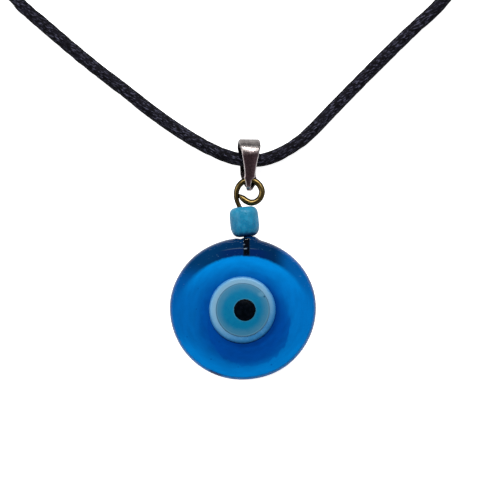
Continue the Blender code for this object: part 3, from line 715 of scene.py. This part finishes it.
def make_eye_layer(name, node, material, shoulder, crown, unevenness, shift=(0.0, 0.0), smaller=0.0):
    """A low glass button with a soft shoulder, a little out of round and a little off its CAD node."""
    low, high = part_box(node)
    radius = (high[0] - low[0]) / 2 / MM - smaller
    top = high[2] / MM
    bottom = low[2] / MM
    flat = radius - shoulder
    outline = [(0.02, top)]
    for i in range(1, 15):
        reach = flat * i / 14
        outline.append((reach, top - crown * (reach / flat) ** 2))
    for i in range(1, 13):
        angle = math.pi / 2 * (1 - i / 12)
        drop = shoulder * 0.7 * (1 - math.sin(angle))
        outline.append((flat + shoulder * math.cos(angle), top - crown - drop))
    outline += [(radius, bottom - 0.02), (0.02, bottom - 0.02)]

    def shape(point):
        angle = math.atan2(point.y, point.x)
        wander = noise.noise(Vector((math.cos(angle) * 1.7, math.sin(angle) * 1.7, radius)))
        share = math.hypot(point.x, point.y) / radius
        return point + Vector((point.x, point.y, 0)) * wander * unevenness * share

    layer = lathed(name, outline, 128, material, shape)
    layer.location = ((low[0] + high[0]) / 2 + shift[0] * MM, (low[1] + high[1]) / 2 + shift[1] * MM, 0.0)
    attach(layer, "pendant")
    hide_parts(node)


def make_eye():
    """The raised white, the iris let into it and the pupil let into that, none quite concentric."""
    milk = eye_white_material()
    teal = iris_material()
    black = pupil_material()
    make_eye_layer(
        "eye_white_glass", "eye_white", milk,
        shoulder=0.55, crown=0.06, unevenness=0.006, shift=(-0.05, 0.12), smaller=0.04,
    )
    make_eye_layer(
        "eye_iris_glass", "eye_iris", teal,
        shoulder=0.12, crown=0.34, unevenness=0.004, shift=(-0.14, 0.1), smaller=0.08,
    )
    make_eye_layer(
        "eye_pupil_glass", "eye_pupil", black,
        shoulder=0.16, crown=0.2, unevenness=0.012,
    )


def make_wire():
    """The bent wire: a screwed leg in the glass, the stem, the loop, and a tail that thins to a point."""
    line = evenly(curved([(x, y, WIRE_HEIGHT, radius) for x, y, radius in WIRE_LINE]), 0.1)

    def radius_at(i, travelled, angle):
        radius = line[i][3]
        if line[i][1] < WIRE_LEG_TOP:
            thread = abs(math.sin(math.pi * line[i][1] / 0.95 + angle / 2))
            return radius * (0.8 + 0.32 * thread)
        return radius * (1 + 0.03 * noise.noise(Vector((travelled * 0.8, angle, 0.0))))

    wire = swept("loop_wire", line, 20, brass_material(), radius_at)
    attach(wire, "pendant")
    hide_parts("hanging_wire")


def make_bead():
    """The barrel bead: straight sides, full corners, a rounded foot and a hole for the stem."""
    low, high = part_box("collar_bead")
    centre = [(a + b) / 2 for a, b in zip(low, high)]
    radius = (high[2] - low[2]) / 2 / MM
    half = BEAD_HALF_LENGTH
    hole = BEAD_HOLE
    outline = []
    for i in range(41):
        turn = math.pi / 2 - math.pi * i / 40
        reach = abs(math.cos(turn)) ** (2 / BEAD_SQUARENESS)
        height = math.copysign(abs(math.sin(turn)) ** (2 / BEAD_SQUARENESS), math.sin(turn))
        foot = 1 - 0.1 * min(max(-height - 0.35, 0.0), 1.0) / 0.65
        outline.append((max(radius * reach * foot, hole), half * height))
    outline = [(hole, 0.0), *[spot for spot in outline if spot[0] > hole], (hole, -0.05)]
    outline.insert(1, (hole, half * 0.97))
    outline.insert(-1, (hole, -half * 0.97))

    def shape(point):
        grain = noise.noise(point * 0.75)
        side = noise.noise(Vector((point.x * 0.35, point.y * 0.35, point.z * 0.2 + 5)))
        share = min(math.hypot(point.x, point.y) / radius, 1.0)
        return point + Vector((point.x, point.y, 0)) * (0.012 * grain + 0.02 * side) * share

    bead = lathed("bead_body", outline, 96, bead_material(), shape)
    bead.location = centre
    bead.rotation_euler = (-math.pi / 2, 0.0, BEAD_TILT)
    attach(bead, "bead")
    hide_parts("collar_bead")


def arc(centre, radius, start, end, steps):
    angles = [start + (end - start) * i / steps for i in range(steps + 1)]
    return [(centre[0] + radius * math.cos(a), centre[1] + radius * math.sin(a)) for a in angles]


def bail_width(y, height):
    """How wide the strip is: its back widens sooner above the foot than its front."""
    front = min(max(0.5 + height, 0.0), 1.0)
    front_width = float(np.interp(y, *zip(*BAIL_FRONT_WIDTHS)))
    back_width = float(np.interp(y, *zip(*BAIL_BACK_WIDTHS)))
    return front * front_width + (1 - front) * back_width


def make_bail():
    """The bail: a tapering strip with bevelled edges, bent round the cord and the wire loop."""
    mid_top = BAIL_TOP_RADIUS - BAIL_THICKNESS / 2
    mid_foot = BAIL_FOOT_RADIUS - BAIL_THICKNESS / 2
    run = BAIL_CENTRE[1] - BAIL_FOOT_Y
    spread = math.acos((mid_top - mid_foot) / run)
    top = arc((BAIL_CENTRE[1], 0.0), mid_top, -(math.pi - spread), math.pi - spread, 48)
    foot = arc((BAIL_FOOT_Y, 0.0), mid_foot, math.pi - spread, math.pi + spread, 30)
    line = np.array([*top, *foot, top[0]])
    line = evenly(np.column_stack([line, np.zeros(len(line))]), 0.12)[:-1]
    turn = Matrix.Rotation(BAIL_YAW, 4, "Y")
    half = BAIL_THICKNESS / 2
    points = []
    for i, here in enumerate(line):
        ahead = line[(i + 1) % len(line)] - line[i - 1]
        outward = Vector((ahead[1], -ahead[0])).normalized()
        side = bail_width(here[0], here[1]) / 2
        bevel = min(0.2, side * 0.3)
        section = (
            (side - bevel, half), (side - bevel * 0.35, half - 0.07), (side, half - 0.2), (side, 0.16 - half),
            (side - 0.12, -half), (0.12 - side, -half), (-side, 0.16 - half), (-side, half - 0.2),
            (bevel * 0.35 - side, half - 0.07), (bevel - side, half), (0.0, half),
        )
        front = min(max(0.5 + here[1], 0.0), 1.0)
        back_lean = float(np.interp(here[0], (19.3, 20.2), (0.22, 0.0)))
        front_lean = float(np.interp(here[0], (19.4, 19.9), (-0.2, 0.0)))
        lean = front_lean * front + back_lean * (1 - front)
        for across, out in section:
            hammered = 0.02 * noise.noise(Vector((across * 1.3, here[0] * 0.9, here[1] * 0.9)))
            y = here[0] + outward.x * (out + hammered)
            z = here[1] + outward.y * (out + hammered)
            spot = turn @ Vector((across + lean, y, z))
            points.append((spot.x + BAIL_CENTRE[0], spot.y, spot.z + WIRE_HEIGHT))
    faces = grid_faces(len(line), 11, closed_rows=True)
    bail = add_piece("bail_strip", points, faces, bail_material())
    bail.data.set_sharp_from_angle(angle=math.radians(38))
    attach(bail, "bail")
    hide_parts("bail")


def finish_clasp():
    """The crimps, rings, clasp and tie keep their CAD shapes and get finishes with faint wear."""
    nickel = clasp_material()
    for node in NICKEL_NODES:
        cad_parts[node].material_slots[0].material = nickel
    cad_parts["coil_tie"].material_slots[0].material = tie_material()


def make_camera():
    """Straight above the view's centre, with the wanted width in the frame at the pendant's height."""
    data = bpy.data.cameras.new("camera")
    data.sensor_width = SENSOR_WIDTH
    data.lens = SENSOR_WIDTH * (VIEW_HEIGHT - VIEW_PLANE) / VIEW_WIDTH
    data.clip_start = 0.01
    data.clip_end = 10.0
    camera = bpy.data.objects.new("camera", data)
    camera.location = (VIEW_CENTRE[0] * MM, VIEW_CENTRE[1] * MM, VIEW_HEIGHT * MM)
    bpy.context.scene.collection.objects.link(camera)
    bpy.context.scene.camera = camera
    bpy.context.scene.view_settings.view_transform = "Standard"


def add_light(name, place, size, power):
    """A rectangular lamp, turned to the middle of the pendant."""
    data = bpy.data.lights.new(name, "AREA")
    data.shape = "RECTANGLE"
    data.size, data.size_y = size
    data.energy = power
    lamp = bpy.data.objects.new(name, data)
    lamp.location = place
    lamp.rotation_euler = (Vector(LAMP_AIM) - Vector(place)).to_track_quat("-Z", "Y").to_euler()
    bpy.context.scene.collection.objects.link(lamp)


def make_stage():
    """A white sheet that glows only to the eye, so that it throws no light on the pieces."""
    corners = [(x * FLOOR_REACH, y * FLOOR_REACH) for x, y in ((-1, -1), (1, -1), (1, 1), (-1, 1))]
    mesh = bpy.data.meshes.new("floor")
    mesh.from_pydata([(x, y, -FLOOR_DROP) for x, y in corners], [], [(0, 1, 2, 3)])
    floor = bpy.data.objects.new("floor", mesh)
    bpy.context.scene.collection.objects.link(floor)
    paper = Nodes("white_sheet")
    white = paper.mix(paper.noise(0.02), linear(244, 244, 244), linear(250, 250, 250))
    paper.feed(Base_Color=white, Roughness=0.9)
    paper.shader.inputs["Emission Color"].default_value = (1.0, 1.0, 1.0, 1.0)
    rays = paper.tree.nodes.new("ShaderNodeLightPath")
    glow = paper.maths("MULTIPLY", rays.outputs["Is Camera Ray"], 0.9)
    paper.link(paper.shader.inputs["Emission Strength"], glow)
    mesh.materials.append(paper.material)
    floor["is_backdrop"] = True


def make_sky():
    """A soft sky, pale at the horizon and dark overhead, so that metal facing up stays dark."""
    world = bpy.data.worlds.new("sky")
    world.use_nodes = True
    tree = world.node_tree
    sky = tree.nodes["Background"]
    place = tree.nodes.new("ShaderNodeTexCoord")
    split = tree.nodes.new("ShaderNodeSeparateXYZ")
    tree.links.new(place.outputs["Generated"], split.inputs[0])
    ramp = tree.nodes.new("ShaderNodeValToRGB")
    horizon, overhead = ramp.color_ramp.elements
    horizon.position = 0.45
    horizon.color = (0.75, 0.78, 0.82, 1.0)
    overhead.position = 0.82
    overhead.color = (0.09, 0.082, 0.088, 1.0)
    tree.links.new(split.outputs["Z"], ramp.inputs["Fac"])
    tree.links.new(ramp.outputs["Color"], sky.inputs["Color"])
    sky.inputs["Strength"].default_value = 0.5
    bpy.context.scene.world = world


make_camera()
cord, line = make_cord()
make_stage()
make_sky()
add_light("key", (0.06, 0.33, 0.42), (0.5, 0.1), 3.6)
add_light("fill", (-0.4, 0.1, 0.3), (0.3, 0.3), 1.0)
make_disc()
make_eye()
make_wire()
make_bead()
make_bail()
finish_clasp()

[tuple(float(value) * MM for value in place[:3]) for place in line]

boxes = {"cad": CAD_BOX, "visual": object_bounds()}
sizes = {name: [[float(value) for value in corner] for corner in box] for name, box in boxes.items()}
